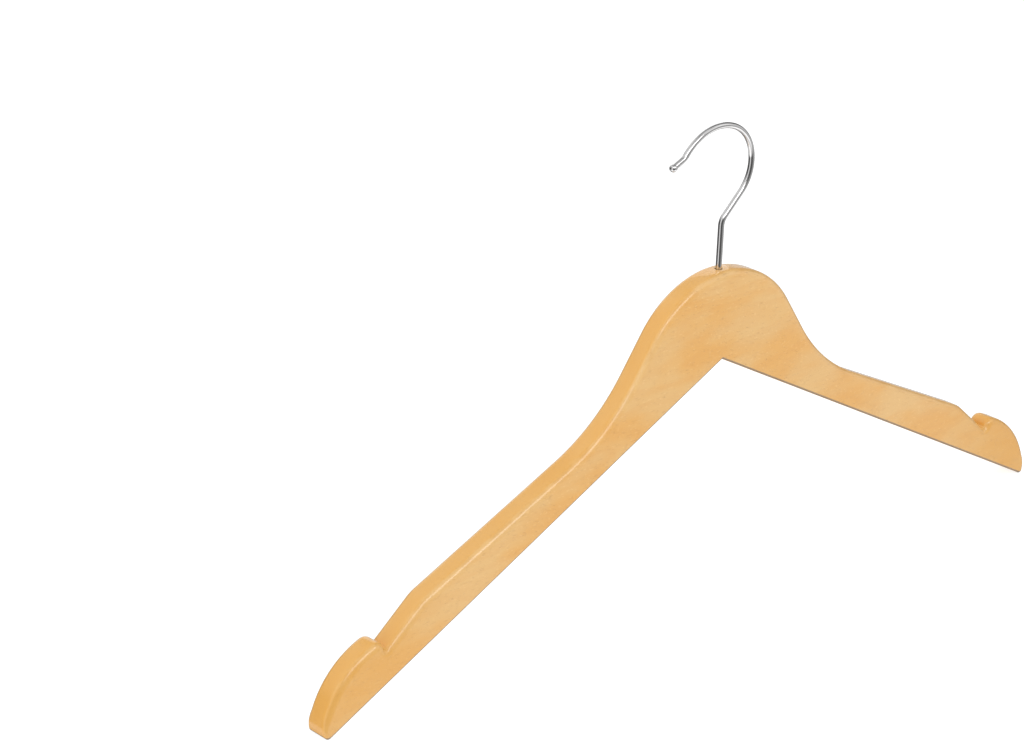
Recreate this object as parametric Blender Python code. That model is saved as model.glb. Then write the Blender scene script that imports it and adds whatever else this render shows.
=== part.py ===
"""Flat wooden clothes hanger with a swivelling chrome hook.

The origin is on the swivel axis, where it meets the inside of the hook's arch: the place that rests on
a rail. X runs along the arms, Y through the flat stock, and Z up along the swivel axis.
Heights named in the constants are measured up from the line through the two lower tips.
"""

import math

import bmesh
import bpy
from mathutils import Vector

MM = 0.001

# Wooden body: one flat board cut to a boomerang outline (millimetres and degrees)
THICKNESS = 12.0
HALF_SPAN = 222.5
DOME_HEIGHT = 156.0
DOME_RADIUS = 50.0
NECK_SLOPE = 55.5
NECK_STRAIGHT = 20.0
NECK_RADIUS = 92.0
ARM_SLOPE = 25.2
APEX_HEIGHT = 115.0
UNDERSIDE_SLOPE = 27.6
WIDEST_HEIGHT = 5.6
END_RADIUS = 42.0
HEEL_RADIUS = 12.0
HEEL_START = 18.0
TIP_RADIUS = 1.8

# Strap notch near each end
SHOULDER_X = 169.5
SHOULDER_RADIUS = 18.0
NOTCH_FOOT_X = 190.1
NOTCH_SLOPE = 40.5
NOTCH_FOOT_RADIUS = 1.0
NOTCH_WALL_SLOPE = 70.0
BUMP_RADIUS = 4.3

# Rounding of the long edges, and how far up the end it takes to change from one to the other
TOP_ROUND = 3.0
LOWER_ROUND = 1.0
TIP_BLEND = 9.0
FACE_BORDER = 0.4
ROUND_STEPS = 4
ARC_STEP = 5.0

# Hole for the hook, and the pocket under it that hides the nut
HOLE_RADIUS = 1.7
HOLE_CHAMFER = 0.5
POCKET_RADIUS = 4.0
POCKET_CEILING = 124.0
CUTTER_SIDES = 24
CUTTER_OVERRUN = 20.0

# Hook: one length of wire, bent in the plane of the board
WIRE_RADIUS = 1.4
WIRE_SIDES = 16
SHANK_BEND_HEIGHT = 175.7
SHANK_BEND_RADIUS = 6.0
LEAN = 45.0
LEAN_LENGTH = 13.0
ARCH_RADIUS = 19.0
ARCH_TURN = 115.0
CROWN_RADIUS = 25.0
CROWN_TURN = 72.0
FLARE_RADIUS = 6.0
FLARE_TURN = 27.0
FLARE_LENGTH = 5.6
BALL_RADIUS = 1.8
BALL_STEPS = 8

# Washer and lock nut on the hook's lower end
GAP = 0.3
WASHER_RADIUS = 3.5
WASHER_THICKNESS = 0.6
WASHER_SIDES = 32
NUT_ACROSS_FLATS = 5.5
NUT_HEX_HEIGHT = 2.6
NUT_COLLAR_HEIGHT = 1.2
NUT_COLLAR_RADIUS = 2.55
NUT_CHAMFER = 0.3
NUT_FACE_INSET = 0.1
NUT_SIDES = 36
WIRE_BELOW_NUT = 0.9
WIRE_CHAMFER = 0.35


def clear_scene():
    for obj in list(bpy.data.objects):
        bpy.data.objects.remove(obj, do_unlink=True)


def material(name, colour, roughness, metallic):
    made = bpy.data.materials.new(name)
    made.use_nodes = True
    shader = made.node_tree.nodes["Principled BSDF"]
    shader.inputs["Base Color"].default_value = (*colour, 1.0)
    shader.inputs["Roughness"].default_value = roughness
    shader.inputs["Metallic"].default_value = metallic
    return made


def add_object(name, bm, look, location, sharp_deg=35.0):
    """Turns a bmesh in millimetres into a smooth-shaded object in metres."""
    bmesh.ops.scale(bm, vec=(MM, MM, MM), verts=bm.verts)
    bmesh.ops.recalc_face_normals(bm, faces=bm.faces)
    mesh = bpy.data.meshes.new(name)
    bm.to_mesh(mesh)
    bm.free()
    mesh.shade_smooth()
    mesh.set_sharp_from_angle(angle=math.radians(sharp_deg))
    mesh.materials.append(look)
    obj = bpy.data.objects.new(name, mesh)
    obj.location = location
    bpy.context.scene.collection.objects.link(obj)
    return obj


# Flat curves, as (x, z) vectors

def heading(degrees):
    turn = math.radians(degrees)
    return Vector((math.cos(turn), math.sin(turn)))


def angle_of(vector):
    return math.degrees(math.atan2(vector.y, vector.x))


def line_to(path, direction, length):
    path.append(path[-1] + heading(direction) * length)


def arc_to(path, direction, radius, turn, step=ARC_STEP):
    """Adds an arc that starts along direction and turns left by turn degrees; returns its last heading."""
    side = math.copysign(1.0, turn)
    centre = path[-1] + heading(direction + 90.0 * side) * radius
    count = max(2, round(abs(turn) / step))
    for k in range(1, count + 1):
        now = direction + turn * k / count
        path.append(centre - heading(now + 90.0 * side) * radius)
    return direction + turn


def rounded_corner(corner, arriving, leaving, radius, step=12.0):
    """The arc that rounds a corner between two headings in degrees."""
    turn = (leaving - arriving + 180.0) % 360.0 - 180.0
    cut = radius * math.tan(math.radians(abs(turn) / 2.0))
    path = [corner - heading(arriving) * cut]
    arc_to(path, arriving, radius, turn, step)
    return path


# Wooden body

def upper_edge():
    """From the middle of the dome down to the shoulder, where the strap notch begins."""
    path = [Vector((0.0, DOME_HEIGHT))]
    down = arc_to(path, 0.0, DOME_RADIUS, -NECK_SLOPE)
    line_to(path, down, NECK_STRAIGHT)
    down = arc_to(path, down, NECK_RADIUS, NECK_SLOPE - ARM_SLOPE)
    arm_length = (SHOULDER_X - path[-1].x) / math.cos(math.radians(ARM_SLOPE))
    shoulder = path[-1] + heading(down) * arm_length
    path += rounded_corner(shoulder, -ARM_SLOPE, -NOTCH_SLOPE, SHOULDER_RADIUS, step=4.0)
    return path, shoulder


def fillet_middle(start, direction, radius, centre, reach, way):
    """Middle of the arc that touches a line and, from inside, the circle of radius reach round centre.
    way is 1 where the line leaves the circle and -1 where it enters."""
    along = heading(direction)
    base = start + heading(direction - 90.0) * radius - centre
    past = -base.dot(along)
    half_chord = math.sqrt((reach - radius) ** 2 - (base + along * past).length_squared)
    return centre + base + along * (past + way * half_chord)


def end_of_arm(shoulder):
    """From the shoulder over the notch and the end bump, round the heel to the lower tip."""
    drop = (NOTCH_FOOT_X - shoulder.x) * math.tan(math.radians(NOTCH_SLOPE))
    foot = Vector((NOTCH_FOOT_X, shoulder.y - drop))
    wall = NOTCH_WALL_SLOPE
    apex = Vector((0.0, APEX_HEIGHT))
    underside = 180.0 - UNDERSIDE_SLOPE

    # The heel is a tighter arc that carries on from the long one above it, and is where the board is widest
    heel = Vector((HALF_SPAN - HEEL_RADIUS, WIDEST_HEIGHT))
    centre = heel - heading(HEEL_START) * (END_RADIUS - HEEL_RADIUS)
    bump_middle = fillet_middle(foot, wall, BUMP_RADIUS, centre, END_RADIUS, 1.0)
    tip_middle = fillet_middle(apex, underside, TIP_RADIUS, heel, HEEL_RADIUS, -1.0)
    first = angle_of(bump_middle - centre)
    last = angle_of(tip_middle - heel)

    notch_corner = rounded_corner(foot, -NOTCH_SLOPE, wall, NOTCH_FOOT_RADIUS, step=20.0)
    bump_corner = [bump_middle - heading(wall - 90.0) * BUMP_RADIUS]
    arc_to(bump_corner, wall, BUMP_RADIUS, first - 90.0 - wall, step=12.0)
    sweep = [bump_corner[-1]]
    arc_to(sweep, first - 90.0, END_RADIUS, HEEL_START - first)
    arc_to(sweep, HEEL_START - 90.0, HEEL_RADIUS, last - HEEL_START, step=8.0)
    tip_corner = [sweep[-1]]
    arc_to(tip_corner, last - 90.0, TIP_RADIUS, underside - 270.0 - last, step=15.0)
    return notch_corner + bump_corner, sweep[1:-1], tip_corner


def half_outline():
    """Right half of the outline with the edge rounding wanted at each point, from dome to apex."""
    upper, shoulder = upper_edge()
    notch, end, tip = end_of_arm(shoulder)
    marked = [(point, TOP_ROUND) for point in upper + notch]
    for point in end:
        share = min(1.0, (point - tip[0]).length / TIP_BLEND)
        marked.append((point, LOWER_ROUND * (1.0 - share) + TOP_ROUND * share))
    apex = Vector((0.0, APEX_HEIGHT))
    marked += [(point, LOWER_ROUND) for point in tip + [(tip[-1] + apex) / 2.0, apex]]
    return marked


def whole_outline():
    right = half_outline()
    left = [(Vector((-point.x, point.y)), edge) for point, edge in reversed(right[1:-1])]
    return right + left


def inward_offsets(points):
    """For each corner of a clockwise outline, the vector that moves its two edges in by 1 mm."""
    offsets = []
    for k, point in enumerate(points):
        before = (point - points[k - 1]).normalized()
        after = (points[(k + 1) % len(points)] - point).normalized()
        normals = Vector((before.y, -before.x)), Vector((after.y, -after.x))
        middle = (normals[0] + normals[1]).normalized()
        offsets.append(middle / middle.dot(normals[0]))
    return offsets


def board_section(edge):
    """Inset and half-thickness pairs across the rounded side, from the front face to the back face."""
    half = THICKNESS / 2.0
    front = [(edge + FACE_BORDER, -half)]
    for k in range(ROUND_STEPS, -1, -1):
        turn = math.radians(90.0 * k / ROUND_STEPS)
        front.append((edge * (1.0 - math.cos(turn)), -(half - edge + edge * math.sin(turn))))
    return front + [(inset, -y) for inset, y in reversed(front)]


def make_board():
    outline = whole_outline()
    offsets = inward_offsets([point for point, _ in outline])
    bm = bmesh.new()
    columns = []
    for (point, edge), offset in zip(outline, offsets):
        columns.append([bm.verts.new((point.x + offset.x * inset, y, point.y + offset.y * inset))
                        for inset, y in board_section(edge)])
    for k, column in enumerate(columns):
        following = columns[(k + 1) % len(columns)]
        for j in range(len(column) - 1):
            bm.faces.new((column[j], column[j + 1], following[j + 1], following[j]))
    faces = [bm.faces.new([column[0] for column in columns]),
             bm.faces.new([column[-1] for column in reversed(columns)])]
    bmesh.ops.triangulate(bm, faces=faces)
    return bm


def turned(profile, sides):
    """A solid turned round Z from (radius, height) points; a first or last radius of 0 closes it."""
    bm = bmesh.new()
    rings = []
    for radius, height in profile:
        if radius == 0.0:
            rings.append([bm.verts.new((0.0, 0.0, height))])
            continue
        rings.append([bm.verts.new((radius * math.cos(2 * math.pi * k / sides),
                                    radius * math.sin(2 * math.pi * k / sides), height))
                      for k in range(sides)])
    join_rings(bm, rings, closed=profile[0][0] > 0.0)
    return bm


def join_rings(bm, rings, closed=False):
    """Skins neighbouring rings; a ring of one vertex is a point. closed also joins last to first."""
    pairs = list(zip(rings, rings[1:]))
    if closed:
        pairs.append((rings[-1], rings[0]))
    for lower, upper in pairs:
        count = max(len(lower), len(upper))
        for k in range(count):
            corners = [lower[k % len(lower)], lower[(k + 1) % len(lower)],
                       upper[(k + 1) % len(upper)], upper[k % len(upper)]]
            bm.faces.new(list(dict.fromkeys(corners)))


def make_hole_cutter():
    """The hook's hole, its countersink at the dome and the nut pocket at the apex, as one turned tool."""
    mouth = DOME_HEIGHT - HOLE_CHAMFER
    profile = [
        (0.0, APEX_HEIGHT - CUTTER_OVERRUN),
        (POCKET_RADIUS, APEX_HEIGHT - CUTTER_OVERRUN),
        (POCKET_RADIUS, POCKET_CEILING),
        (HOLE_RADIUS, POCKET_CEILING),
        (HOLE_RADIUS, mouth),
        (HOLE_RADIUS + 2.0 * HOLE_CHAMFER, DOME_HEIGHT + HOLE_CHAMFER),
        (0.0, DOME_HEIGHT + HOLE_CHAMFER),
    ]
    return turned(profile, CUTTER_SIDES)


def build_wood_body(origin):
    wood = material("lacquered_wood", (0.80, 0.52, 0.23), 0.28, 0.0)
    body = add_object("wood_body", make_board(), wood, origin)
    cutter = add_object("hole_cutter", make_hole_cutter(), wood, origin)
    cutter.hide_render = True
    cutter.display_type = "WIRE"
    bore = body.modifiers.new("hook hole", "BOOLEAN")
    bore.operation = "DIFFERENCE"
    bore.solver = "EXACT"
    bore.object = cutter
    return body


# Hook

def wire_end_height():
    nut_bottom = POCKET_CEILING - 2.0 * GAP - WASHER_THICKNESS - NUT_COLLAR_HEIGHT - NUT_HEX_HEIGHT
    return nut_bottom - WIRE_BELOW_NUT


def hook_path():
    """Middle line of the wire from its lower end to the middle of the ball."""
    path = [Vector((0.0, wire_end_height()))]
    line_to(path, 90.0, SHANK_BEND_HEIGHT - path[0].y)
    now = arc_to(path, 90.0, SHANK_BEND_RADIUS, -LEAN, step=9.0)
    line_to(path, now, LEAN_LENGTH)
    now = arc_to(path, now, ARCH_RADIUS, ARCH_TURN, step=6.4)
    now = arc_to(path, now, CROWN_RADIUS, CROWN_TURN, step=6.0)
    now = arc_to(path, now, FLARE_RADIUS, -FLARE_TURN, step=9.0)
    line_to(path, now, FLARE_LENGTH)
    return path, now


def rail_seat_height():
    """Height of the inside of the arch above the swivel axis."""
    path, _ = hook_path()
    for start, end in zip(path, path[1:]):
        if start.x > 0.0 >= end.x:
            share = start.x / (start.x - end.x)
            slope = math.atan2(end.y - start.y, end.x - start.x)
            return start.y + (end.y - start.y) * share - WIRE_RADIUS / abs(math.cos(slope))


def make_hook():
    path, last_heading = hook_path()
    stations = [(path[0], 90.0, WIRE_RADIUS - WIRE_CHAMFER),
                (path[0] + Vector((0.0, WIRE_CHAMFER)), 90.0, WIRE_RADIUS)]
    for before, point, after in zip(path, path[1:], path[2:]):
        arriving = (point - before).normalized()
        leaving = (after - point).normalized()
        along = arriving + leaving
        stations.append((point, math.degrees(math.atan2(along.y, along.x)), WIRE_RADIUS))

    # The end swells into the ball, so the wire and the ball are one surface
    ball = path[-1]
    neck = math.degrees(math.acos(WIRE_RADIUS / BALL_RADIUS))
    for k in range(BALL_STEPS):
        turn = -neck + (90.0 + neck) * k / BALL_STEPS
        reach = BALL_RADIUS * math.sin(math.radians(turn))
        stations.append((ball + heading(last_heading) * reach, last_heading,
                         BALL_RADIUS * math.cos(math.radians(turn))))

    bm = bmesh.new()
    rings = []
    for point, direction, radius in stations:
        side = heading(direction - 90.0)
        rings.append([])
        for k in range(WIRE_SIDES):
            turn = 2.0 * math.pi * k / WIRE_SIDES
            out = side * (radius * math.cos(turn))
            rings[-1].append(bm.verts.new((point.x + out.x, radius * math.sin(turn), point.y + out.y)))
    end = ball + heading(last_heading) * BALL_RADIUS
    rings.append([bm.verts.new((end.x, 0.0, end.y))])
    join_rings(bm, rings)
    bm.faces.new(list(reversed(rings[0])))
    return bm


def build_hook(origin):
    chrome = material("chrome_wire", (0.86, 0.86, 0.87), 0.07, 1.0)
    return add_object("hook", make_hook(), chrome, origin, sharp_deg=50.0)


# Fasteners

def build_washer(origin):
    steel = material("zinc_steel", (0.66, 0.66, 0.64), 0.32, 1.0)
    top = POCKET_CEILING - GAP
    bottom = top - WASHER_THICKNESS
    inner = WIRE_RADIUS + GAP
    profile = [(inner, bottom), (WASHER_RADIUS, bottom), (WASHER_RADIUS, top), (inner, top)]
    return add_object("washer", turned(profile, WASHER_SIDES), steel, origin)


def make_nut():
    """Hexagon with a round locking collar on top, and a clear hole for the wire."""
    top = POCKET_CEILING - 2.0 * GAP - WASHER_THICKNESS
    seat = top - NUT_COLLAR_HEIGHT
    bottom = seat - NUT_HEX_HEIGHT
    inner = WIRE_RADIUS + GAP

    def hexagon(angle):
        off = (angle + math.pi / 6.0) % (math.pi / 3.0) - math.pi / 6.0
        return NUT_ACROSS_FLATS / 2.0 / math.cos(off)

    levels = [
        (bottom, lambda angle: inner),
        (bottom, lambda angle: NUT_ACROSS_FLATS / 2.0 - NUT_FACE_INSET),
        (bottom + NUT_CHAMFER, hexagon),
        (seat, hexagon),
        (seat, lambda angle: NUT_COLLAR_RADIUS),
        (top - NUT_CHAMFER, lambda angle: NUT_COLLAR_RADIUS),
        (top, lambda angle: NUT_COLLAR_RADIUS - NUT_CHAMFER),
        (top, lambda angle: inner),
    ]
    bm = bmesh.new()
    rings = []
    for height, radius in levels:
        rings.append([])
        for k in range(NUT_SIDES):
            angle = 2.0 * math.pi * k / NUT_SIDES
            reach = radius(angle)
            rings[-1].append(bm.verts.new((reach * math.cos(angle), reach * math.sin(angle), height)))
    join_rings(bm, rings, closed=True)
    return bm


def build_lock_nut(origin):
    steel = material("zinc_nut", (0.62, 0.62, 0.60), 0.30, 1.0)
    return add_object("lock_nut", make_nut(), steel, origin, sharp_deg=25.0)


def main():
    clear_scene()
    origin = (0.0, 0.0, -rail_seat_height() * MM)
    build_wood_body(origin)
    build_hook(origin)
    build_washer(origin)
    build_lock_nut(origin)


main()
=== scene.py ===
"""Looks of a flat wooden clothes hanger with a swivelling chrome hook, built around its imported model.

The origin is on the swivel axis, at the inside of the hook's arch. X runs along the arms, Y through the
board and Z up. Shapes are worked out in millimetres, with heights measured up from the line through the
lower tips, and become metres in the frame when they are made into objects.
"""

import math

import bmesh
import bpy
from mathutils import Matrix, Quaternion, Vector, geometry, noise


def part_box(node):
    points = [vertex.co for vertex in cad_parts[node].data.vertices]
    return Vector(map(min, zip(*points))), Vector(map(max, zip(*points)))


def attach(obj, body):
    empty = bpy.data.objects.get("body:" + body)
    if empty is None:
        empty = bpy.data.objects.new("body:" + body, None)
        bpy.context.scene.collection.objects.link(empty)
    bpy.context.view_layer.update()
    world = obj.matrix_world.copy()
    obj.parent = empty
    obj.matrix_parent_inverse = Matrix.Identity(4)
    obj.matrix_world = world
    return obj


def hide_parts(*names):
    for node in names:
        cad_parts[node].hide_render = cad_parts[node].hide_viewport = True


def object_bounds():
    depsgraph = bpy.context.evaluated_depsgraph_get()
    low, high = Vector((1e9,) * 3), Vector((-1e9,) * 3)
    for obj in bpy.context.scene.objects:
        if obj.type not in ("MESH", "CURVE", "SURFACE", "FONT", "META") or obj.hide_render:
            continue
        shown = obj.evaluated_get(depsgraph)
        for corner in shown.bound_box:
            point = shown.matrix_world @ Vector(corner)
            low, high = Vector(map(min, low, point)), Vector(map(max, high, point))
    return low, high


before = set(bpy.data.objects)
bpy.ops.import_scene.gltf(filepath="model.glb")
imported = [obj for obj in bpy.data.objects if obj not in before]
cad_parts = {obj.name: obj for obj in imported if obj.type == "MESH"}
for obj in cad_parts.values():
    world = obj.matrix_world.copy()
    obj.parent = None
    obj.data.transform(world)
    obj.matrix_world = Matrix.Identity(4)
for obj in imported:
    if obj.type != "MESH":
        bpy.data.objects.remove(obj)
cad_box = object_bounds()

MM = 0.001

# Wooden board: outline (millimetres and degrees)
THICKNESS = 12.0
HALF_SPAN = 222.5
DOME_HEIGHT = 156.0
DOME_RADIUS = 50.0
NECK_SLOPE = 55.5
NECK_STRAIGHT = 20.0
NECK_RADIUS = 92.0
ARM_SLOPE = 25.2
APEX_HEIGHT = 115.0
UNDERSIDE_SLOPE = 27.6
WIDEST_HEIGHT = 5.6
END_RADIUS = 42.0
HEEL_RADIUS = 12.0
HEEL_START = 18.0
TIP_RADIUS = 1.8

# Strap notch near each end
SHOULDER_X = 169.5
SHOULDER_RADIUS = 18.0
NOTCH_FOOT_X = 190.1
NOTCH_SLOPE = 40.5
NOTCH_FOOT_RADIUS = 1.0
NOTCH_WALL_SLOPE = 70.0
BUMP_RADIUS = 4.3

# Rounding of the board's long edges, and how far up the end it takes to change from one to the other
TOP_ROUND = 3.0
LOWER_ROUND = 1.0
TIP_BLEND = 9.0
FACE_BORDER = 0.4
FINISH_DEPTH = 0.02

# Hole for the hook, and the pocket under it
HOLE_RADIUS = 1.7
HOLE_CHAMFER = 0.18
POCKET_RADIUS = 4.0
POCKET_CEILING = 124.0
CUTTER_OVERRUN = 20.0

# Hook wire
WIRE_RADIUS = 1.4
SHANK_BEND_HEIGHT = 175.7
SHANK_BEND_RADIUS = 6.0
LEAN = 45.0
LEAN_LENGTH = 13.0
ARCH_RADIUS = 19.0
ARCH_TURN = 115.0
CROWN_RADIUS = 25.0
CROWN_TURN = 72.0
FLARE_RADIUS = 6.0
FLARE_TURN = 27.0
FLARE_LENGTH = 5.6
BALL_RADIUS = 1.8

# Washer and lock nut
GAP = 0.3
WASHER_RADIUS = 3.5
WASHER_THICKNESS = 0.6
NUT_ACROSS_FLATS = 5.5
NUT_HEX_HEIGHT = 2.6
NUT_COLLAR_HEIGHT = 1.2
NUT_COLLAR_RADIUS = 2.55
WIRE_BELOW_NUT = 0.9
THREAD_PITCH = 0.5
THREAD_DEPTH = 0.12

# Fineness of the finished surfaces
ARC_STEP = 1.5
ROUND_STEPS = 8
FACE_CELL = 6.0
FACE_WAVE = 0.05
WAVE_LENGTH = (38.0, 24.0)
WAVE_FADE = 15.0
HOLE_SIDES = 48
WIRE_SIDES = 40
THREAD_STEPS = 8
BALL_STEPS = 20
TURNED_SIDES = 72
SHARP_EDGE = 35.0

# Wood: the middle of the tree lies behind and below the board, and its rings are this far apart
PITH_BEHIND = 95.0
PITH_BELOW = 150.0
RING_WIDTH = 4.2
PALE_WOOD = (0.722, 0.454, 0.180, 1.0)
WARM_WOOD = (0.722, 0.390, 0.110, 1.0)
LATE_WOOD = (0.640, 0.290, 0.070, 1.0)
FIBRE_WOOD = (0.660, 0.330, 0.090, 1.0)
RAY_FLECK = (0.900, 0.600, 0.270, 1.0)
PORE_WOOD = (0.430, 0.180, 0.045, 1.0)
ENDWARD_WOOD = (0.670, 0.332, 0.050, 1.0)
SAWN_WOOD = (0.895, 0.462, 0.094, 1.0)
END_GRAIN = (0.800, 0.390, 0.080, 1.0)
# Paler rubbed wood, which also stands as a painted highlight along the rounded edges
RUBBED_WOOD_AND_HIGHLIGHT = (0.880, 0.580, 0.260, 1.0)
# Painted shade: the dark line along the lower edges and round the lower tips
EDGE_SHADE_PAINT = (0.110, 0.068, 0.038, 1.0)
BARE_WOOD = (0.800, 0.600, 0.360, 1.0)
TORN_WOOD = (0.330, 0.170, 0.070, 1.0)

# Metal
BRIGHT_CHROME = (0.805, 0.798, 0.798, 1.0)
HAZY_CHROME = (0.705, 0.697, 0.695, 1.0)
CHROME_SPECK = (0.420, 0.390, 0.360, 1.0)
WASHER_ZINC = (0.700, 0.700, 0.680, 1.0)
NUT_ZINC = (0.660, 0.665, 0.650, 1.0)
ZINC_SPANGLE = (0.560, 0.565, 0.560, 1.0)
DULL_ZINC = (0.400, 0.390, 0.370, 1.0)

# Studio (metres, degrees and watts)
ROOM_LIGHT = 0.82
FLOOR_REACH = 6.0
FLOOR_TONE = (0.35, 0.35, 0.35, 1.0)
FLOOR_GLOW = 0.85
WHITE = (1.0, 1.0, 1.0, 1.0)
DARKEST = 0.03
KEY_PLACE = (-0.50, -1.70, 1.55)
KEY_SIZE = (2.3, 0.8)
KEY_POWER = 16.5
BACK_PLACE = (0.9, 1.9, 0.9)
BACK_SIZE = (2.0, 1.2)
BACK_POWER = 6.0

# What shiny things mirror. Strips are (azimuth, half width, brightness) and stand upright; panels are
# (azimuth, height, half width, brightness) and round, and darken the room where brightness is below 0
STRIPS = ((-169.0, 13.0, 0.82), (-24.0, 13.0, 0.48), (-60.0, 18.0, 0.24))
STRIP_FADE = 7.0
PANELS = (
    (47.0, -20.0, 28.0, 0.55),
    (120.0, 40.0, 22.0, 0.40),
    (-95.0, 26.0, 12.0, 0.36),
    (0.0, 45.0, 26.0, -0.20),
    (-46.0, 24.0, 13.0, 0.42),
    (-62.0, -42.0, 12.0, 0.25),
    (-80.0, 50.0, 11.0, 0.30),
    (50.0, -60.0, 37.0, -0.55),
)
PANEL_FADE = (-4.0, 10.0)

# Camera: turned from looking along +Y, raised over the horizon and rolled
CAMERA_TURN = -42.594
CAMERA_RISE = 22.179
CAMERA_ROLL = 2.044
CAMERA_AIM = (-0.1199, 0.0004, -0.0832)
CAMERA_DISTANCE = 1.3025
CAMERA_LENS = 110.27

# Heights in the frame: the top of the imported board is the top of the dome
FLOOR_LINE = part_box("wood_body")[1].z / MM - DOME_HEIGHT


def add_object(name, bm, looks, sharp_edge=SHARP_EDGE):
    """Turns a bmesh in millimetres over the floor line into a smooth-shaded object in the frame."""
    for vert in bm.verts:
        vert.co = Vector((vert.co.x, vert.co.y, vert.co.z + FLOOR_LINE)) * MM
    bmesh.ops.recalc_face_normals(bm, faces=bm.faces)
    mesh = bpy.data.meshes.new(name)
    bm.to_mesh(mesh)
    bm.free()
    mesh.shade_smooth()
    mesh.set_sharp_from_angle(angle=math.radians(sharp_edge))
    for look in looks:
        mesh.materials.append(look)
    obj = bpy.data.objects.new(name, mesh)
    bpy.context.scene.collection.objects.link(obj)
    return obj


# Flat curves, as (x, z) vectors

def heading(degrees):
    turn = math.radians(degrees)
    return Vector((math.cos(turn), math.sin(turn)))


def angle_of(vector):
    return math.degrees(math.atan2(vector.y, vector.x))


def line_to(path, direction, length, step=None):
    """Adds a straight run along direction, in one length or in equal steps of about step."""
    start = path[-1]
    count = max(1, round(length / step)) if step else 1
    for k in range(1, count + 1):
        path.append(start + heading(direction) * (length * k / count))


def arc_to(path, direction, radius, turn, step=ARC_STEP):
    """Adds an arc that starts along direction and turns left by turn degrees; returns its last heading."""
    side = math.copysign(1.0, turn)
    centre = path[-1] + heading(direction + 90.0 * side) * radius
    count = max(2, round(abs(turn) / step))
    for k in range(1, count + 1):
        now = direction + turn * k / count
        path.append(centre - heading(now + 90.0 * side) * radius)
    return direction + turn


def rounded_corner(corner, arriving, leaving, radius, step=4.0):
    """The arc that rounds a corner between two headings in degrees."""
    turn = (leaving - arriving + 180.0) % 360.0 - 180.0
    cut = radius * math.tan(math.radians(abs(turn) / 2.0))
    path = [corner - heading(arriving) * cut]
    arc_to(path, arriving, radius, turn, step)
    return path


# Wooden board

def upper_edge():
    """From the middle of the dome down to the shoulder, where the strap notch begins."""
    path = [Vector((0.0, DOME_HEIGHT))]
    down = arc_to(path, 0.0, DOME_RADIUS, -NECK_SLOPE)
    line_to(path, down, NECK_STRAIGHT, step=FACE_CELL)
    down = arc_to(path, down, NECK_RADIUS, NECK_SLOPE - ARM_SLOPE)
    arm_length = (SHOULDER_X - path[-1].x) / math.cos(math.radians(ARM_SLOPE))
    shoulder = path[-1] + heading(down) * arm_length
    corner = rounded_corner(shoulder, -ARM_SLOPE, -NOTCH_SLOPE, SHOULDER_RADIUS)
    line_to(path, down, (corner[0] - path[-1]).length, step=FACE_CELL)
    return path + corner[1:], shoulder


def fillet_middle(start, direction, radius, centre, reach, way):
    """Middle of the arc that touches a line and, from inside, the circle of radius reach round centre.
    way is 1 where the line leaves the circle and -1 where it enters."""
    along = heading(direction)
    base = start + heading(direction - 90.0) * radius - centre
    past = -base.dot(along)
    half_chord = math.sqrt((reach - radius) ** 2 - (base + along * past).length_squared)
    return centre + base + along * (past + way * half_chord)


def end_of_arm(shoulder):
    """From the shoulder over the notch and the end bump, round the heel to the lower tip."""
    drop = (NOTCH_FOOT_X - shoulder.x) * math.tan(math.radians(NOTCH_SLOPE))
    foot = Vector((NOTCH_FOOT_X, shoulder.y - drop))
    wall = NOTCH_WALL_SLOPE
    apex = Vector((0.0, APEX_HEIGHT))
    underside = 180.0 - UNDERSIDE_SLOPE

    # The heel is a tighter arc that carries on from the long one above it, and is where the board is widest
    heel = Vector((HALF_SPAN - HEEL_RADIUS, WIDEST_HEIGHT))
    centre = heel - heading(HEEL_START) * (END_RADIUS - HEEL_RADIUS)
    bump_middle = fillet_middle(foot, wall, BUMP_RADIUS, centre, END_RADIUS, 1.0)
    tip_middle = fillet_middle(apex, underside, TIP_RADIUS, heel, HEEL_RADIUS, -1.0)
    first = angle_of(bump_middle - centre)
    last = angle_of(tip_middle - heel)

    notch_corner = rounded_corner(foot, -NOTCH_SLOPE, wall, NOTCH_FOOT_RADIUS)
    bump_corner = [bump_middle - heading(wall - 90.0) * BUMP_RADIUS]
    arc_to(bump_corner, wall, BUMP_RADIUS, first - 90.0 - wall, step=4.0)
    sweep = [bump_corner[-1]]
    arc_to(sweep, first - 90.0, END_RADIUS, HEEL_START - first)
    arc_to(sweep, HEEL_START - 90.0, HEEL_RADIUS, last - HEEL_START, step=4.0)
    tip_corner = [sweep[-1]]
    arc_to(tip_corner, last - 90.0, TIP_RADIUS, underside - 270.0 - last, step=6.0)
    return notch_corner + bump_corner, sweep[1:-1], tip_corner


def half_outline():
    """Right half of the outline with the edge rounding wanted at each point, from dome to apex."""
    upper, shoulder = upper_edge()
    notch, end, tip = end_of_arm(shoulder)
    ramp = [upper[-1]]
    line_to(ramp, -NOTCH_SLOPE, (notch[0] - upper[-1]).length, step=FACE_CELL)
    marked = [(point, TOP_ROUND) for point in upper + ramp[1:-1] + notch]
    for point in end:
        share = min(1.0, (point - tip[0]).length / TIP_BLEND)
        marked.append((point, LOWER_ROUND * (1.0 - share) + TOP_ROUND * share))
    under = [tip[-1]]
    line_to(under, 180.0 - UNDERSIDE_SLOPE, (Vector((0.0, APEX_HEIGHT)) - tip[-1]).length, step=FACE_CELL)
    marked += [(point, LOWER_ROUND) for point in tip + under[1:]]
    return marked


def whole_outline():
    right = half_outline()
    left = [(Vector((-point.x, point.y)), edge) for point, edge in reversed(right[1:-1])]
    return right + left


def inward_offsets(points):
    """For each corner of a clockwise outline, the vector that moves its two edges in by 1 mm."""
    offsets = []
    for k, point in enumerate(points):
        before = (point - points[k - 1]).normalized()
        after = (points[(k + 1) % len(points)] - point).normalized()
        normals = Vector((before.y, -before.x)), Vector((after.y, -after.x))
        middle = (normals[0] + normals[1]).normalized()
        offsets.append(middle / middle.dot(normals[0]))
    return offsets


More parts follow.
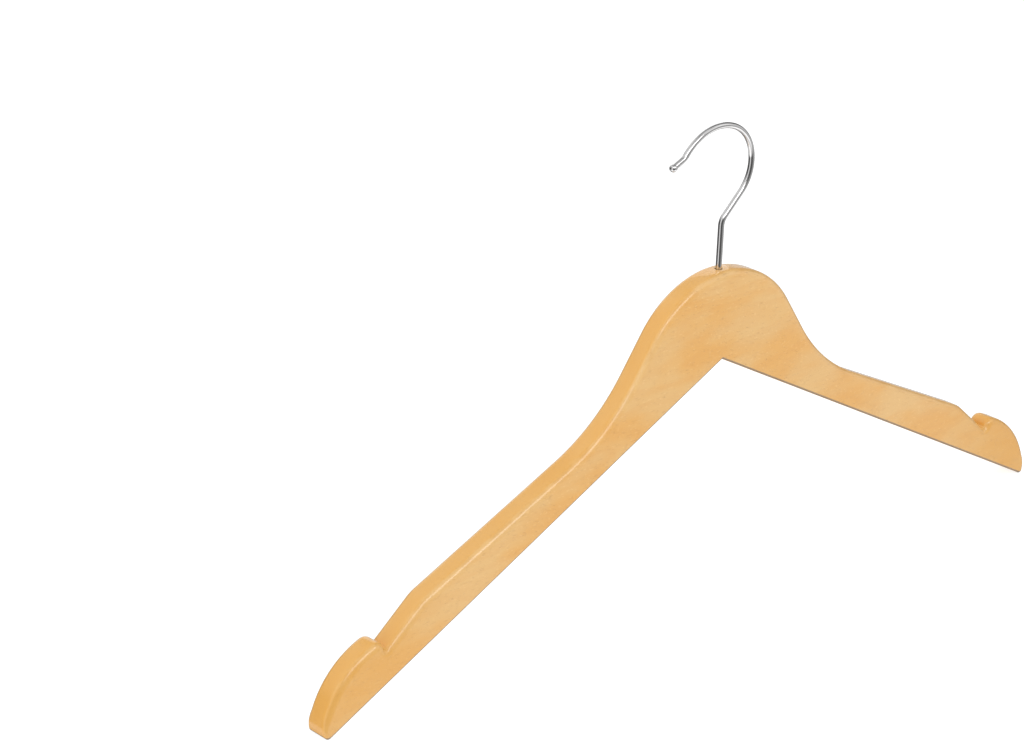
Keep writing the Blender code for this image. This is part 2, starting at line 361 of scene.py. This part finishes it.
def board_section(edge):
    """Inset and half-thickness pairs across the rounded side, from the front face to the back face."""
    half = THICKNESS / 2.0
    front = [(edge + FACE_BORDER, -half)]
    for k in range(ROUND_STEPS, -1, -1):
        turn = math.radians(90.0 * k / ROUND_STEPS)
        front.append((edge * (1.0 - math.cos(turn)), -(half - edge + edge * math.sin(turn))))
    section = front + [(0.0, 0.0)] + [(inset, -y) for inset, y in reversed(front)]
    return [(inset + FINISH_DEPTH, y) for inset, y in section]


def face_points(border):
    """A staggered grid of points inside the border of a flat face, clear of its edge."""
    row_height = FACE_CELL * math.sqrt(0.75)
    rows = math.ceil(DOME_HEIGHT / row_height)
    columns = math.ceil(HALF_SPAN / FACE_CELL)
    inside = []
    for row in range(rows):
        for column in range(-columns, columns + 1):
            point = Vector(((column + 0.5 * (row % 2)) * FACE_CELL, row * row_height))
            if within(point, border) and clearance(point, border) > 0.5 * FACE_CELL:
                inside.append(point)
    return inside


def within(point, border):
    """Whether a point is inside a closed outline, by counting the edges to its right."""
    found = False
    for start, end in zip(border, border[1:] + border[:1]):
        if (start.y > point.y) != (end.y > point.y):
            crossing = start.x + (end.x - start.x) * (point.y - start.y) / (end.y - start.y)
            found ^= crossing > point.x
    return found


def clearance(point, border):
    return min((point - corner).length for corner in border)


def face_wave(point, side, border):
    """How far sanding has lowered the flat face at a point: a slow swell that dies out at the border."""
    swell = noise.noise(Vector((point.x / WAVE_LENGTH[0], point.y / WAVE_LENGTH[1], 7.0 * side)))
    fade = min(1.0, clearance(point, border) / WAVE_FADE)
    return FACE_WAVE * (0.5 + 0.5 * swell) * fade


def skin_face(bm, ring, points, border, side):
    """Fills a face's border ring with triangles through the inner points. side is -1 in front, 1 behind."""
    half = THICKNESS / 2.0
    verts = list(ring)
    for point in points:
        verts.append(bm.verts.new((point.x, side * (half - face_wave(point, side, border)), point.y)))
    count = len(border)
    edges = [(k, (k + 1) % count) for k in range(count)]
    flat = geometry.delaunay_2d_cdt(border + points, edges, [], 1, 1e-6)
    for triangle in flat[2]:
        bm.faces.new([verts[flat[3][corner][0]] for corner in triangle])


def make_board():
    outline = whole_outline()
    offsets = inward_offsets([point for point, _ in outline])
    bm = bmesh.new()
    columns = []
    for (point, edge), offset in zip(outline, offsets):
        columns.append([bm.verts.new((point.x + offset.x * inset, y, point.y + offset.y * inset))
                        for inset, y in board_section(edge)])
    for k, column in enumerate(columns):
        following = columns[(k + 1) % len(columns)]
        for j in range(len(column) - 1):
            bm.faces.new((column[j], column[j + 1], following[j + 1], following[j]))
    border = [Vector((column[0].co.x, column[0].co.z)) for column in columns]
    points = face_points(border)
    skin_face(bm, [column[0] for column in columns], points, border, -1)
    skin_face(bm, [column[-1] for column in columns], points, border, 1)
    return bm


def turned(profile, sides):
    """A solid turned round Z from (radius, height) points; a first or last radius of 0 closes it."""
    bm = bmesh.new()
    rings = []
    for radius, height in profile:
        if radius == 0.0:
            rings.append([bm.verts.new((0.0, 0.0, height))])
            continue
        rings.append([bm.verts.new((radius * math.cos(2 * math.pi * k / sides),
                                    radius * math.sin(2 * math.pi * k / sides), height))
                      for k in range(sides)])
    join_rings(bm, rings, closed=profile[0][0] > 0.0)
    return bm


def join_rings(bm, rings, closed=False):
    """Skins neighbouring rings; a ring of one vertex is a point. closed also joins last to first."""
    pairs = list(zip(rings, rings[1:]))
    if closed:
        pairs.append((rings[-1], rings[0]))
    for lower, upper in pairs:
        count = max(len(lower), len(upper))
        for k in range(count):
            corners = [lower[k % len(lower)], lower[(k + 1) % len(lower)],
                       upper[(k + 1) % len(upper)], upper[k % len(upper)]]
            bm.faces.new(list(dict.fromkeys(corners)))


def make_hole_cutter():
    """The hook's hole, its countersink at the dome and the nut pocket at the apex, as one turned tool."""
    mouth = DOME_HEIGHT - HOLE_CHAMFER
    profile = [
        (0.0, APEX_HEIGHT - CUTTER_OVERRUN),
        (POCKET_RADIUS, APEX_HEIGHT - CUTTER_OVERRUN),
        (POCKET_RADIUS, POCKET_CEILING),
        (HOLE_RADIUS, POCKET_CEILING),
        (HOLE_RADIUS, mouth - HOLE_CHAMFER),
        (HOLE_RADIUS + 0.15 * HOLE_CHAMFER, mouth),
        (HOLE_RADIUS + 2.0 * HOLE_CHAMFER, DOME_HEIGHT + HOLE_CHAMFER),
        (0.0, DOME_HEIGHT + HOLE_CHAMFER),
    ]
    return turned(profile, HOLE_SIDES)


def cut_hole(board, tool):
    """Takes the tool's shape out of the board for good, and removes the tool."""
    bore = board.modifiers.new("hook hole", "BOOLEAN")
    bore.operation = "DIFFERENCE"
    bore.solver = "EXACT"
    bore.object = tool
    depsgraph = bpy.context.evaluated_depsgraph_get()
    cut = bpy.data.meshes.new_from_object(board.evaluated_get(depsgraph))
    board.modifiers.clear()
    board.data = cut
    bpy.data.objects.remove(tool, do_unlink=True)


def mark_bare_wood(board, slot_index):
    """Gives the faces inside the drilled hole the unlacquered wood."""
    reach = (POCKET_RADIUS + 0.05) * MM
    for face in board.data.polygons:
        away = math.hypot(face.center.x, face.center.y)
        sideways = Vector((face.center.x, face.center.y, 0.0)).normalized()
        wall = face.normal.dot(sideways) < -0.2 and face.normal.z > -0.5
        ceiling = face.normal.z < -0.95 and away < 0.9 * reach
        if away < reach and (wall or ceiling):
            face.material_index = slot_index


def mark_edges(board):
    """Stores how far each point is on a rounded edge, on a sawn side, and on end grain."""
    mesh = board.data
    rounding = mesh.attributes.new("rounding", "FLOAT", "POINT")
    end_grain = mesh.attributes.new("end_grain", "FLOAT", "POINT")
    side = mesh.attributes.new("side", "FLOAT", "POINT")
    for k, vertex in enumerate(mesh.vertices):
        normal = vertex.normal
        rounding.data[k].value = 4.0 * abs(normal.y) * (1.0 - abs(normal.y))
        end_grain.data[k].value = abs(normal.x) * (1.0 - abs(normal.y))
        side.data[k].value = 1.0 - abs(normal.y)


def build_board(lacquered, bare):
    board = add_object("board", make_board(), [lacquered, bare])
    cut_hole(board, add_object("hole_tool", make_hole_cutter(), []))
    board.data.shade_smooth()
    board.data.set_sharp_from_angle(angle=math.radians(SHARP_EDGE))
    mark_bare_wood(board, 1)
    mark_edges(board)
    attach(board, "hanger_body")
    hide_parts("wood_body")
    return board


# Hook

def nut_bottom():
    return POCKET_CEILING - 2.0 * GAP - WASHER_THICKNESS - NUT_COLLAR_HEIGHT - NUT_HEX_HEIGHT


def hook_path():
    """Middle line of the wire above its thread, up to the middle of the ball."""
    path = [Vector((0.0, thread_top()))]
    line_to(path, 90.0, SHANK_BEND_HEIGHT - path[0].y, step=2.0)
    now = arc_to(path, 90.0, SHANK_BEND_RADIUS, -LEAN, step=3.0)
    line_to(path, now, LEAN_LENGTH, step=2.0)
    now = arc_to(path, now, ARCH_RADIUS, ARCH_TURN, step=2.5)
    now = arc_to(path, now, CROWN_RADIUS, CROWN_TURN, step=2.5)
    now = arc_to(path, now, FLARE_RADIUS, -FLARE_TURN, step=3.0)
    line_to(path, now, FLARE_LENGTH, step=1.0)
    return path, now


def thread_top():
    return POCKET_CEILING + 1.0


def plain_round(radius):
    """The same radius at every angle round the wire."""
    return lambda angle: radius


def thread_round(height, lead_in, run_out):
    """Radius of the cut thread at one height, by the angle round the wire."""
    def radius(angle):
        phase = height / THREAD_PITCH - angle / (2.0 * math.pi)
        groove = 0.5 + 0.5 * math.cos(2.0 * math.pi * phase)
        return lead_in * (WIRE_RADIUS - FINISH_DEPTH - THREAD_DEPTH * groove * run_out)
    return radius


def thread_stations():
    """The cut thread at the wire's lower end, as (place, heading, radius round the wire)."""
    bottom = nut_bottom() - WIRE_BELOW_NUT
    count = round((thread_top() - bottom) / THREAD_PITCH) * THREAD_STEPS
    stations = []
    for k in range(count):
        height = bottom + (thread_top() - bottom) * k / count
        lead_in = min(1.0, 0.7 + 0.3 * (height - bottom) / THREAD_PITCH)
        run_out = min(1.0, (thread_top() - height) / THREAD_PITCH)
        stations.append((Vector((0.0, height)), 90.0, thread_round(height, lead_in, run_out)))
    return stations


def wire_stations():
    """All of the wire as (place, heading, radius round the wire), and the point where its ball ends."""
    plated = WIRE_RADIUS - FINISH_DEPTH
    path, last_heading = hook_path()
    stations = thread_stations()
    stations.append((path[0], 90.0, plain_round(plated)))
    for before, point, after in zip(path, path[1:], path[2:]):
        along = (point - before).normalized() + (after - point).normalized()
        stations.append((point, angle_of(along), plain_round(plated)))

    # The end swells into the ball, so the wire and the ball are one surface
    ball = path[-1]
    reach = BALL_RADIUS - FINISH_DEPTH
    neck = math.degrees(math.acos(plated / reach))
    for k in range(BALL_STEPS):
        turn = math.radians(-neck + (90.0 + neck) * k / BALL_STEPS)
        place = ball + heading(last_heading) * (reach * math.sin(turn))
        stations.append((place, last_heading, plain_round(reach * math.cos(turn))))
    return stations, ball + heading(last_heading) * reach


def make_hook():
    """Skins the wire. The layer named straight holds each point as if the wire were pulled straight."""
    stations, tip = wire_stations()
    bm = bmesh.new()
    straight = bm.verts.layers.float_vector.new("straight")
    rings = []
    along = 0.0
    last_point = stations[0][0]
    for point, direction, radius in stations:
        along += (point - last_point).length
        last_point = point
        side = heading(direction - 90.0)
        rings.append([])
        for k in range(WIRE_SIDES):
            angle = 2.0 * math.pi * k / WIRE_SIDES
            reach = radius(angle)
            out = side * (reach * math.cos(angle))
            vert = bm.verts.new((point.x + out.x, reach * math.sin(angle), point.y + out.y))
            vert[straight] = (along, reach * math.cos(angle), reach * math.sin(angle))
            rings[-1].append(vert)
    end = bm.verts.new((tip.x, 0.0, tip.y))
    end[straight] = (along + (tip - last_point).length, 0.0, 0.0)
    rings.append([end])
    join_rings(bm, rings)
    bm.faces.new(list(reversed(rings[0])))
    return bm


def build_hook(chrome):
    hook = add_object("hook_wire", make_hook(), [chrome], sharp_edge=60.0)
    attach(hook, "hook")
    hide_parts("hook")
    return hook


# Fasteners

def rolled_edge(radius, height, turn_from, edge):
    """Points of a quarter round at an outer corner, turning from turn_from to turn_from + 90 degrees."""
    points = []
    for k in range(5):
        turn = math.radians(turn_from + 90.0 * k / 4)
        points.append((radius + edge * math.cos(turn), height + edge * math.sin(turn)))
    return points


def build_washer(zinc):
    top = POCKET_CEILING - GAP
    bottom = top - WASHER_THICKNESS
    inner = WIRE_RADIUS + GAP
    edge = 0.18
    profile = [(inner + edge, bottom)]
    profile += rolled_edge(WASHER_RADIUS - edge, bottom + edge, -90.0, edge)
    profile += rolled_edge(WASHER_RADIUS - edge, top - edge, 0.0, edge)
    profile += [(inner, top), (inner, bottom + edge)]
    washer = add_object("seat_washer", turned(profile, TURNED_SIDES), [zinc])
    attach(washer, "hook")
    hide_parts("washer")


def make_nut():
    """Hexagon with a chamfered lower face, a round locking collar on top and a clear hole for the wire."""
    bottom = nut_bottom()
    seat = bottom + NUT_HEX_HEIGHT
    top = seat + NUT_COLLAR_HEIGHT
    inner = WIRE_RADIUS + GAP
    flat = NUT_ACROSS_FLATS / 2.0
    fillet = 0.2

    def hexagon(angle):
        off = (angle + math.pi / 6.0) % (math.pi / 3.0) - math.pi / 6.0
        return flat / math.cos(off)

    def chamfered(height):
        """The hexagon under a cone, which leaves the curved chamfer of a machined nut."""
        return lambda angle: min(hexagon(angle), flat - 0.1 + 1.7 * (height - bottom))

    levels = [(bottom + 0.25, lambda angle: inner), (bottom, lambda angle: inner + 0.25)]
    levels += [(height, chamfered(height)) for height in (bottom + 0.06 * k for k in range(5))]
    levels += [(seat, hexagon), (seat, lambda angle: NUT_COLLAR_RADIUS + fillet),
               (seat + fillet, lambda angle: NUT_COLLAR_RADIUS)]
    levels += [(height, lambda angle, radius=radius: radius)
               for radius, height in rolled_edge(NUT_COLLAR_RADIUS - 0.4, top - 0.4, 0.0, 0.4)]
    levels.append((top, lambda angle: inner))
    bm = bmesh.new()
    rings = []
    for height, radius in levels:
        rings.append([])
        for k in range(TURNED_SIDES):
            angle = 2.0 * math.pi * k / TURNED_SIDES
            reach = radius(angle)
            rings[-1].append(bm.verts.new((reach * math.cos(angle), reach * math.sin(angle), height)))
    join_rings(bm, rings, closed=True)
    return bm


def build_lock_nut(zinc):
    nut = add_object("locking_nut", make_nut(), [zinc], sharp_edge=28.0)
    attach(nut, "hook")
    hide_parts("lock_nut")


# Materials

class Graph:
    """Adds nodes to one node tree; each method gives back the socket that holds its result."""

    def __init__(self, tree):
        self.tree = tree

    def feed(self, socket, value):
        if isinstance(value, bpy.types.NodeSocket):
            self.tree.links.new(value, socket)
        else:
            socket.default_value = value

    def place(self, scale):
        """Object coordinates in millimetres, times scale along X, Y and Z."""
        coordinates = self.tree.nodes.new("ShaderNodeTexCoord")
        return self.stretched(coordinates.outputs["Object"], [1000.0 * s for s in scale])

    def parts(self, vector):
        """The X, Y and Z of a vector."""
        split = self.tree.nodes.new("ShaderNodeSeparateXYZ")
        self.feed(split.inputs[0], vector)
        return split.outputs

    def stretched(self, vector, scale, turn=(0.0, 0.0, 0.0)):
        mapping = self.tree.nodes.new("ShaderNodeMapping")
        mapping.inputs["Scale"].default_value = scale
        mapping.inputs["Rotation"].default_value = [math.radians(angle) for angle in turn]
        self.feed(mapping.inputs["Vector"], vector)
        return mapping.outputs["Vector"]

    def attribute(self, name, output="Fac"):
        found = self.tree.nodes.new("ShaderNodeAttribute")
        found.attribute_name = name
        return found.outputs[output]

    def noise(self, vector, detail=2.0, roughness=0.5, distortion=0.0):
        made = self.tree.nodes.new("ShaderNodeTexNoise")
        made.inputs["Scale"].default_value = 1.0
        made.inputs["Detail"].default_value = detail
        made.inputs["Roughness"].default_value = roughness
        made.inputs["Distortion"].default_value = distortion
        self.feed(made.inputs["Vector"], vector)
        return made.outputs["Fac"]

    def math(self, operation, first, second=0.0):
        made = self.tree.nodes.new("ShaderNodeMath")
        made.operation = operation
        self.feed(made.inputs[0], first)
        self.feed(made.inputs[1], second)
        return made.outputs[0]

    def between(self, value, low, high, to_low=0.0, to_high=1.0):
        """The value's place between low and high, smoothed and sent to another range."""
        made = self.tree.nodes.new("ShaderNodeMapRange")
        made.interpolation_type = "SMOOTHSTEP"
        limits = {"From Min": low, "From Max": high, "To Min": to_low, "To Max": to_high}
        for socket, number in limits.items():
            made.inputs[socket].default_value = number
        self.feed(made.inputs["Value"], value)
        return made.outputs["Result"]

    def mix(self, share, first, second):
        """Colours mixed: all first where share is 0, all second where it is 1."""
        made = self.tree.nodes.new("ShaderNodeMix")
        made.data_type = "RGBA"
        self.feed(made.inputs[0], share)
        self.feed(made.inputs[6], first)
        self.feed(made.inputs[7], second)
        return made.outputs[2]

    def bump(self, height, distance, under=None):
        """A normal bent by a height, over the normal under it if there is one. distance is in metres."""
        made = self.tree.nodes.new("ShaderNodeBump")
        made.inputs["Distance"].default_value = distance
        self.feed(made.inputs["Height"], height)
        if under is not None:
            self.feed(made.inputs["Normal"], under)
        return made.outputs["Normal"]

    def choose(self, share, without, full):
        """Numbers mixed: all without where share is 0, all full where it is 1."""
        made = self.tree.nodes.new("ShaderNodeMix")
        self.feed(made.inputs[0], share)
        self.feed(made.inputs[2], without)
        self.feed(made.inputs[3], full)
        return made.outputs[0]


class Look(Graph):
    """The graph of one material round its Principled shader, whose fixed values are given by name."""

    def __init__(self, name, **fixed):
        self.material = bpy.data.materials.new(name)
        self.material.use_nodes = True
        super().__init__(self.material.node_tree)
        self.shader = self.tree.nodes["Principled BSDF"]
        for socket, value in fixed.items():
            self.shader.inputs[socket.replace("_", " ")].default_value = value

    def into(self, socket, value):
        self.feed(self.shader.inputs[socket], value)


def wood_figure(graph):
    """The wood's own pattern: (base colour, fibre height), from the tree's rings, fibres, pores and rays."""
    # Growth rings round a pith that runs along X behind the board, bent by slow wander
    wander = graph.noise(graph.place((0.009, 0.03, 0.03)), detail=2.0)
    ripple = graph.noise(graph.place((0.05, 0.35, 0.35)), detail=3.0)
    here = graph.parts(graph.place((1.0, 1.0, 1.0)))
    across = graph.math("ADD", here["Y"], -PITH_BEHIND)
    upward = graph.math("ADD", here["Z"], PITH_BELOW)
    across_squared = graph.math("POWER", across, 2.0)
    distance = graph.math("SQRT", graph.math("ADD", across_squared, graph.math("MULTIPLY", upward, upward)))
    bent = graph.math("ADD", distance, graph.math("MULTIPLY", wander, 34.0))
    bent = graph.math("ADD", bent, graph.math("MULTIPLY", ripple, 2.4))
    ring = graph.math("FRACT", graph.math("DIVIDE", bent, RING_WIDTH))
    late_wood = graph.math("MULTIPLY", graph.between(ring, 0.25, 0.86),
                           graph.between(ring, 0.90, 1.0, 1.0, 0.0))

    blotch = graph.noise(graph.place((0.016, 0.035, 0.042)), detail=3.0, roughness=0.55)
    warm = graph.between(blotch, 0.38, 0.64)
    fibre = graph.noise(graph.place((0.05, 2.2, 2.2)), detail=4.0, roughness=0.6)
    pore = graph.noise(graph.place((0.30, 4.2, 4.2)), detail=1.0)
    pore = graph.between(pore, 0.66, 0.74)
    fleck = graph.noise(graph.place((0.55, 2.2, 1.1)), detail=1.0)
    fleck = graph.between(fleck, 0.62, 0.72)

    base = graph.mix(warm, PALE_WOOD, WARM_WOOD)
    base = graph.mix(graph.math("MULTIPLY", late_wood, 0.12), base, LATE_WOOD)
    base = graph.mix(graph.between(fibre, 0.30, 0.75, 0.0, 0.16), base, FIBRE_WOOD)
    base = graph.mix(graph.math("MULTIPLY", fleck, 0.22), base, RAY_FLECK)
    base = graph.mix(graph.math("MULTIPLY", pore, 0.20), base, PORE_WOOD)
    height = graph.math("SUBTRACT", fibre, graph.math("MULTIPLY", pore, 1.4))
    return base, height


def painted_lower_edge_shade(graph):
    """Share of painted shade: a thin dark line along both lower edges of the arms, and round the lower tips.
    """
    here = graph.parts(graph.place((1.0, 1.0, 1.0)))
    from_middle = graph.math("ABSOLUTE", here["Y"])
    beside = graph.between(from_middle, THICKNESS / 2.0 - 0.5, THICKNESS / 2.0 - 0.3)

    # Height over the sloping undersides, and over the line of the tips
    fall = graph.math("MULTIPLY", graph.math("ABSOLUTE", here["X"]), math.tan(math.radians(UNDERSIDE_SLOPE)))
    over_slope = graph.math("ADD", graph.math("ADD", here["Z"], -APEX_HEIGHT - FLOOR_LINE), fall)
    over_tips = graph.math("ADD", here["Z"], -FLOOR_LINE)
    on_arm = graph.math("MULTIPLY", graph.between(over_slope, 0.85, 1.35, 0.85, 0.0), beside)
    return graph.math("MAXIMUM", on_arm, graph.between(over_tips, 1.0, 1.8, 0.80, 0.0))


def lacquered_wood():
    """Honey-coloured wood under a clear coat, deeper in colour on its sawn sides and towards its ends."""
    graph = Look("lacquered_wood", Coat_Weight=1.0, Coat_Roughness=0.08, Coat_IOR=1.5, IOR=1.45,
                  Specular_IOR_Level=0.3)
    base, height = wood_figure(graph)

    # The lacquer ran towards the ends while it dried, so it is deeper there
    outward = graph.math("ABSOLUTE", graph.parts(graph.place((1.0, 1.0, 1.0)))["X"])
    base = graph.mix(graph.between(outward, 140.0, 212.0, 0.0, 0.55), base, ENDWARD_WOOD)

    # The sawn sides drink more lacquer and go deeper in colour, most of all on end grain
    soaked = graph.between(graph.attribute("side"), 0.20, 0.95, 0.0, 0.66)
    base = graph.mix(soaked, base, SAWN_WOOD)
    deepest = graph.between(graph.attribute("end_grain"), 0.45, 1.0, 0.0, 0.35)
    base = graph.mix(deepest, base, END_GRAIN)

    # Along the rounded edges the coat is rubbed in patches, which are paler and also stand as a painted
    # highlight
    patch = graph.noise(graph.place((0.08, 0.25, 0.08)), detail=3.0)
    patchy = graph.between(patch, 0.45, 0.65, 0.0, 0.35)
    rubbed_and_highlit = graph.math("MULTIPLY", graph.attribute("rounding"), patchy)
    base = graph.mix(rubbed_and_highlit, base, RUBBED_WOOD_AND_HIGHLIGHT)
    # A thin dark line of painted shade along the lower edges and round the lower tips
    base = graph.mix(painted_lower_edge_shade(graph), base, EDGE_SHADE_PAINT)

    smear = graph.noise(graph.place((0.03, 0.05, 0.06)), detail=3.0)
    graph.into("Base Color", base)
    graph.into("Roughness", graph.between(smear, 0.3, 0.7, 0.30, 0.44))
    peel = graph.bump(graph.noise(graph.place((0.35, 0.35, 0.35)), detail=1.0), 0.000015)
    grain = graph.bump(height, 0.00004, under=peel)
    graph.into("Normal", grain)
    graph.into("Coat Normal", peel)
    return graph.material


def bare_wood():
    """Unlacquered wood inside the drilled hole: paler, dull and torn round by the drill."""
    graph = Look("bare_wood", IOR=1.4, Specular_IOR_Level=0.2)
    base, height = wood_figure(graph)
    base = graph.mix(0.55, base, BARE_WOOD)
    swarf = graph.noise(graph.place((1.5, 1.5, 6.0)), detail=3.0)
    base = graph.mix(graph.between(swarf, 0.4, 0.7, 0.0, 0.45), base, TORN_WOOD)
    graph.into("Base Color", base)
    graph.into("Roughness", graph.between(swarf, 0.3, 0.7, 0.70, 0.92))
    rings = graph.bump(swarf, 0.00025)
    graph.into("Normal", graph.bump(height, 0.00006, under=rings))
    return graph.material


def chrome():
    """Bright plating over drawn wire: die lines along the wire, fine wipe marks and a faint haze."""
    graph = Look("chrome_plate", Metallic=1.0)
    wire = graph.attribute("straight", "Vector")
    die_lines = graph.noise(graph.stretched(wire, (0.03, 5.0, 5.0)), detail=3.0, roughness=0.6)
    haze = graph.noise(graph.stretched(wire, (0.12, 0.5, 0.5)), detail=3.0)
    wipe = graph.noise(graph.stretched(wire, (1.6, 0.4, 0.4), turn=(0.0, 0.0, 24.0)), detail=4.0)
    specks = graph.between(graph.noise(graph.stretched(wire, (1.8, 1.8, 1.8)), detail=1.0), 0.70, 0.78)
    tone = graph.mix(graph.between(haze, 0.35, 0.7), BRIGHT_CHROME, HAZY_CHROME)
    tone = graph.mix(graph.math("MULTIPLY", specks, 0.35), tone, CHROME_SPECK)
    graph.into("Base Color", tone)
    gloss = graph.math("ADD", graph.between(haze, 0.3, 0.7, 0.045, 0.10),
                       graph.between(wipe, 0.5, 0.8, 0.0, 0.06))
    graph.into("Roughness", graph.math("ADD", gloss, graph.math("MULTIPLY", specks, 0.25)))
    graph.into("Normal", graph.bump(die_lines, 0.00001))
    return graph.material


def zinc(name, tint, age):
    """Zinc plating with its fine crystal spangle and dulled patches. age grows the patches."""
    graph = Look(name, Metallic=1.0)
    spangle = graph.noise(graph.place((1.6, 1.6, 1.6)), detail=3.0, distortion=0.6)
    patch = graph.noise(graph.place((0.5, 0.5, 0.5)), detail=4.0)
    dulled = graph.between(patch, 0.62 - 0.25 * age, 0.80 - 0.25 * age)
    tone = graph.mix(graph.between(spangle, 0.35, 0.65), tint, ZINC_SPANGLE)
    tone = graph.mix(graph.math("MULTIPLY", dulled, 0.6), tone, DULL_ZINC)
    graph.into("Base Color", tone)
    graph.into("Roughness", graph.math("ADD", graph.between(spangle, 0.3, 0.7, 0.24, 0.36),
                                       graph.math("MULTIPLY", dulled, 0.25)))
    graph.into("Normal", graph.bump(spangle, 0.00002))
    return graph.material


# Studio

def white_sheet(name):
    """Matt paper with a glow of its own, so that it looks white even under the board."""
    graph = Look(name, Roughness=0.9, Specular_IOR_Level=0.0)
    graph.into("Base Color", FLOOR_TONE)
    graph.into("Emission Color", WHITE)
    graph.into("Emission Strength", FLOOR_GLOW)
    return graph.material


def build_floor():
    """A wide level sheet under the lower tips. Shiny things mirror the panelled room instead of it."""
    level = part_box("wood_body")[0].z
    mesh = bpy.data.meshes.new("floor")
    corners = [(x * FLOOR_REACH, y * FLOOR_REACH, level) for x, y in ((-1, -1), (1, -1), (1, 1), (-1, 1))]
    mesh.from_pydata(corners, [], [(0, 1, 2, 3)])
    mesh.materials.append(white_sheet("floor"))
    floor = bpy.data.objects.new("floor", mesh)
    floor.visible_glossy = False
    bpy.context.scene.collection.objects.link(floor)


def softbox(name, place, aim, size, power):
    """A rectangular area light that looks from place to aim and doesn't show itself."""
    light = bpy.data.lights.new(name, "AREA")
    light.shape = "RECTANGLE"
    light.size, light.size_y = size
    light.energy = power
    lamp = bpy.data.objects.new(name, light)
    lamp.location = place
    lamp.rotation_mode = "QUATERNION"
    lamp.rotation_quaternion = (Vector(aim) - Vector(place)).to_track_quat("-Z", "Y")
    lamp.visible_camera = False
    bpy.context.scene.collection.objects.link(lamp)


def compass(azimuth, height):
    """Unit vector towards an azimuth from +X and a height over the horizon, in degrees."""
    turn, rise = math.radians(azimuth), math.radians(height)
    return Vector((math.cos(turn) * math.cos(rise), math.sin(turn) * math.cos(rise), math.sin(rise)))


def cosine(degrees):
    return math.cos(math.radians(degrees))


def mirrored_room(graph, direction):
    """Brightness of the room as shiny things mirror it: a white table low down, dark up to the horizon
    and grey overhead, with lit strips and panels."""
    towards = graph.parts(direction)
    table = graph.between(towards["Z"], -0.52, -0.42, 0.72, 0.0)
    glow = graph.math("ADD", table, graph.between(towards["Z"], 0.0, 0.7, 0.11, 0.38))

    azimuth = graph.math("ARCTAN2", towards["Y"], towards["X"])
    for middle, half_width, power in STRIPS:
        near = graph.math("COSINE", graph.math("SUBTRACT", azimuth, math.radians(middle)))
        strip = graph.between(near, cosine(half_width + STRIP_FADE), cosine(half_width), 0.0, power)
        glow = graph.math("ADD", glow, strip)

    for middle, height, half_width, power in PANELS:
        facing = graph.tree.nodes.new("ShaderNodeVectorMath")
        facing.operation = "DOT_PRODUCT"
        graph.feed(facing.inputs[0], direction)
        facing.inputs[1].default_value = compass(middle, height)
        inner, outer = [cosine(half_width + fade) for fade in PANEL_FADE]
        glow = graph.math("ADD", glow, graph.between(facing.outputs["Value"], outer, inner, 0.0, power))
    return graph.math("MAXIMUM", glow, DARKEST)


def light_room():
    """Soft even light from all round, white to the camera, and the panelled room to shiny things."""
    world = bpy.data.worlds.new("studio")
    world.use_nodes = True
    bpy.context.scene.world = world
    graph = Graph(world.node_tree)
    room = graph.tree.nodes["Background"]
    room.inputs["Color"].default_value = WHITE
    path = graph.tree.nodes.new("ShaderNodeLightPath")
    direction = graph.tree.nodes.new("ShaderNodeTexCoord").outputs["Generated"]
    plain = graph.choose(path.outputs["Is Camera Ray"], ROOM_LIGHT, 1.0)
    graph.feed(room.inputs["Strength"],
               graph.choose(path.outputs["Is Glossy Ray"], plain, mirrored_room(graph, direction)))


def light_studio():
    middle = (cad_box[0] + cad_box[1]) / 2.0
    softbox("key", middle + Vector(KEY_PLACE), middle, KEY_SIZE, KEY_POWER)
    softbox("back", middle + Vector(BACK_PLACE), middle, BACK_SIZE, BACK_POWER)
    light_room()


def place_camera():
    """Looks at the board from its front left and from above."""
    turn, rise = math.radians(CAMERA_TURN), math.radians(CAMERA_RISE)
    back = Vector((math.sin(turn) * math.cos(rise), -math.cos(turn) * math.cos(rise), math.sin(rise)))
    lens = bpy.data.cameras.new("camera")
    lens.lens = CAMERA_LENS
    lens.sensor_width = 36.0
    camera = bpy.data.objects.new("camera", lens)
    camera.location = Vector(CAMERA_AIM) + back * CAMERA_DISTANCE
    camera.rotation_mode = "QUATERNION"
    level = (-back).to_track_quat("-Z", "Y")
    camera.rotation_quaternion = level @ Quaternion((0.0, 0.0, 1.0), math.radians(CAMERA_ROLL))
    bpy.context.scene.collection.objects.link(camera)
    bpy.context.scene.camera = camera


def main():
    place_camera()
    build_board(lacquered_wood(), bare_wood())
    build_hook(chrome())
    build_washer(zinc("zinc_washer", WASHER_ZINC, 0.3))
    build_lock_nut(zinc("zinc_nut", NUT_ZINC, 0.6))
    build_floor()
    light_studio()
    bpy.context.scene.view_settings.view_transform = "Standard"


main()
